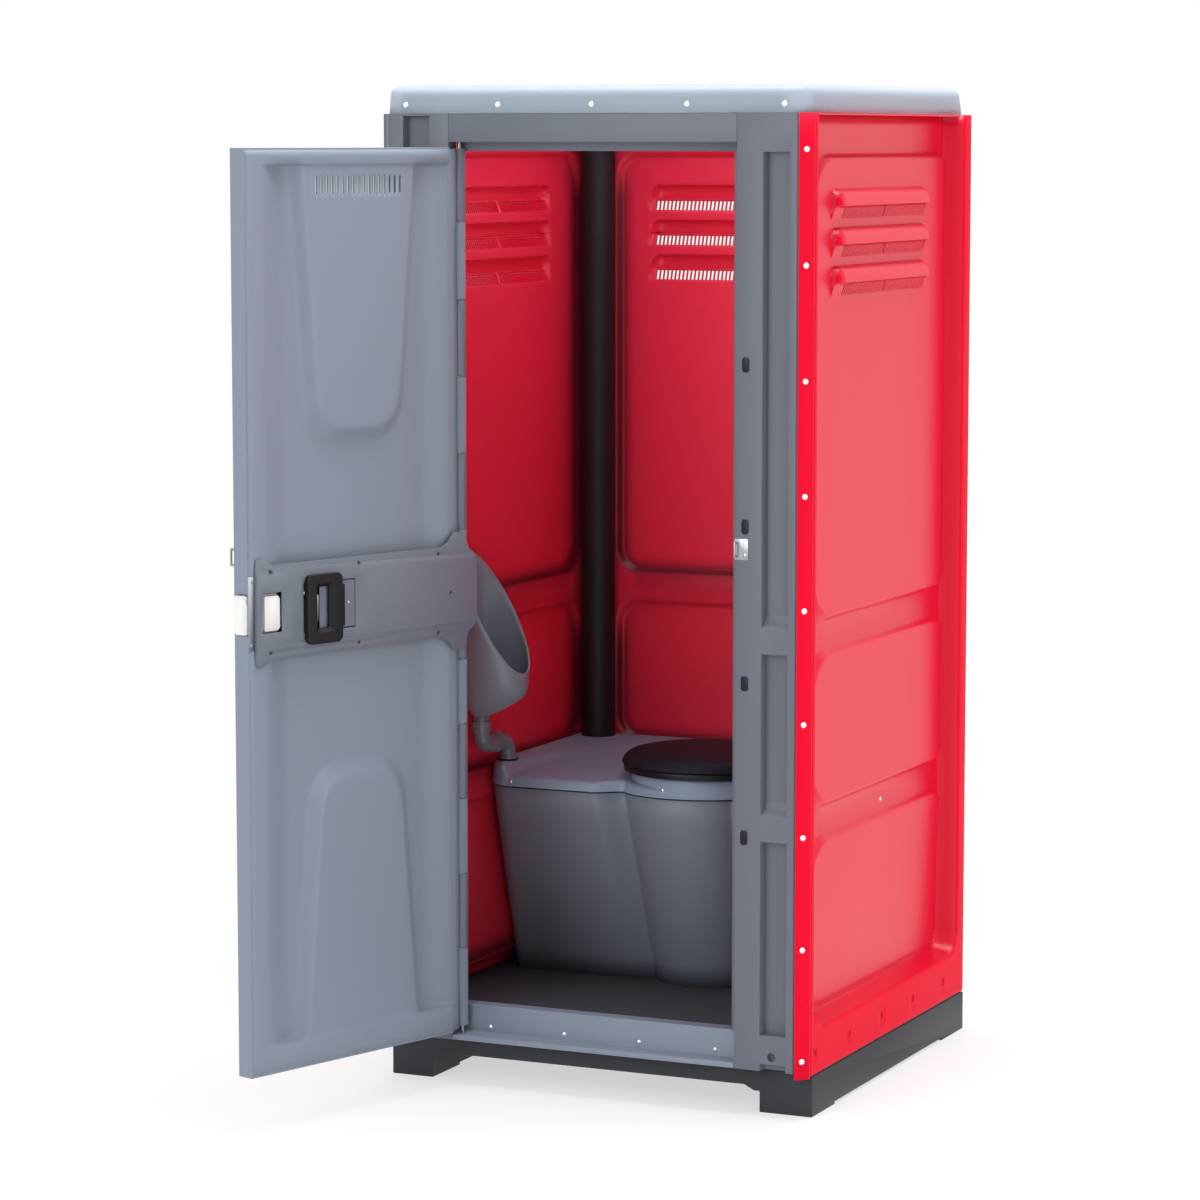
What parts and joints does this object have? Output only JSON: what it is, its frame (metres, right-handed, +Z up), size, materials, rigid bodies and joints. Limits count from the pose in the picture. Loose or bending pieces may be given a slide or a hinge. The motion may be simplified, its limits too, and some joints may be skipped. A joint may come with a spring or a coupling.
{
  "type": "portable toilet cabin",
  "caption": "Moulded portable toilet cabin on a skid base, with a door on a full-height hinge rod, sliding bolt, waste tank with lidded seat, vent stack and wall urinal.",
  "frame": {"origin": "on the ground, under the middle of the cabin's square plan", "axes": "+X to the right seen from the door side, +Y to the back, +Z up"},
  "size_m": [1.1223, 1.6961, 2.316],
  "materials": {
    "black_moulding": "moulded",
    "bolt_white": "moulded",
    "case_grey": "moulded",
    "cover_grey": "moulded",
    "deck_grey": "moulded",
    "door_grey": "moulded",
    "drain_grey": "moulded",
    "floor_grey": "moulded, grained",
    "frame_grey": "moulded",
    "pipe_black": "extruded",
    "red_wall": "moulded, satin",
    "rivet": "bright",
    "roof_white": "moulded, lets light through",
    "rubber_black": "moulded",
    "steel": "zinc plated",
    "tank_grey": "moulded",
    "urinal_grey": "moulded"
  },
  "bodies": {
    "cabin": {"base_pallet": "black_moulding", "floor_tray": "floor_grey", "left_post": "frame_grey", "right_post": "frame_grey", "header_rail": "frame_grey", "door_sill": "frame_grey", "jamb_plugs": "black_moulding", "jamb_staple": "steel", "right_wall": "red_wall", "left_wall": "red_wall", "rear_wall": "red_wall", "roof_cap": "roof_white", "vent_collar": "rubber_black", "hinge_rod": "steel", "waste_tank": "tank_grey", "tank_deck": "deck_grey", "seat_ring": "black_moulding", "lid_pin": "steel", "vent_pipe": "pipe_black", "urinal_bowl": "urinal_grey", "drain_tail": "drain_grey", "drain_upper_bend": "drain_grey", "drain_lower_bend": "drain_grey", "corner_rivets": "rivet", "roof_rivets": "rivet", "wall_screws": "steel", "sill_screws": "steel", "tank_screws": "steel"},
    "door": {"door_inner_skin": "door_grey", "door_outer_skin": "door_grey", "latch_case": "case_grey", "latch_cover": "cover_grey", "bolt_guide_plate": "steel", "door_staple": "steel", "outer_pull": "black_moulding", "cover_screws": "steel", "guide_screws": "steel"},
    "bolt": {"latch_bolt": "bolt_white", "latch_slide": "steel", "latch_handle": "black_moulding"},
    "lid": {"seat_lid": "black_moulding"}
  },
  "joints": [
    {"name": "door_hinge", "type": "hinge", "parent": "cabin", "child": "door", "pos_m": [-0.338, -0.502, 1.15], "axis": [0, 0, 1], "range_deg": [0, 108]},
    {"name": "bolt_slide", "type": "slide", "parent": "door", "child": "bolt", "axis": [0.309, 0.9511, 0], "range_m": [-0.01, 0.014]},
    {"name": "lid_hinge", "type": "hinge", "parent": "cabin", "child": "lid", "pos_m": [0.046, 0.272, 0.712], "axis": [-1, 0, 0], "range_deg": [0, 100]}
  ]
}
